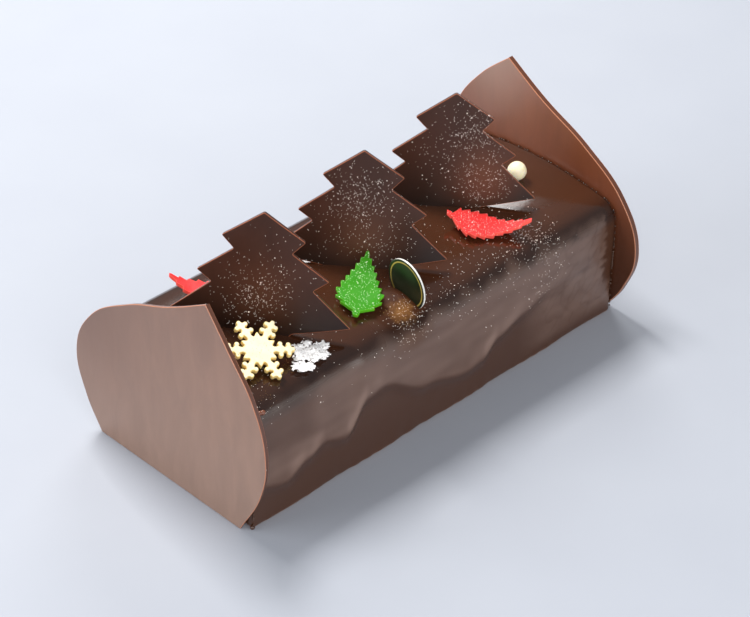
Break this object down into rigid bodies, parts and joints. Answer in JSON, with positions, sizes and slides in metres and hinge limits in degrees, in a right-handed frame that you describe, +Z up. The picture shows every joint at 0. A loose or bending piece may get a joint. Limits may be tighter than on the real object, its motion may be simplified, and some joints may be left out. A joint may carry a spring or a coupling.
{
  "type": "yule log cake",
  "caption": "Glazed yule log cake with shaped chocolate end plaques, fir trees, sugar leaves and a snowflake on top.",
  "frame": {"origin": "on the floor under the middle of the cake", "axes": "+X along the log to the far end plaque, -Y to the shown front side, +Z up"},
  "size_m": [0.209, 0.1063, 0.1029],
  "materials": {
    "glaze": "glossy dark chocolate mirror glaze",
    "milk_chocolate": "satin tempered milk chocolate",
    "dark_chocolate": "satin to glossy tempered dark chocolate",
    "green_sugar": "matt green sugar paste",
    "red_sugar": "matt coral red sugar paste",
    "white_chocolate": "satin white chocolate",
    "printed_disc": "dark printed disc with a thin gold ring, white edge",
    "silver_leaf": "crinkled edible silver leaf"
  },
  "bodies": {
    "root": {"log": "glaze", "end_plaque_near": "milk_chocolate", "end_plaque_far": "milk_chocolate", "tree_1": "dark_chocolate", "tree_2": "dark_chocolate", "tree_3": "dark_chocolate", "leaf_green": "green_sugar", "leaf_red_front": "red_sugar", "leaf_red_back": "red_sugar", "snowflake": "white_chocolate", "pearl": "white_chocolate", "seal_disc": "printed_disc", "silver_leaf_main": "silver_leaf", "silver_leaf_small": "silver_leaf"}
  },
  "joints": []
}
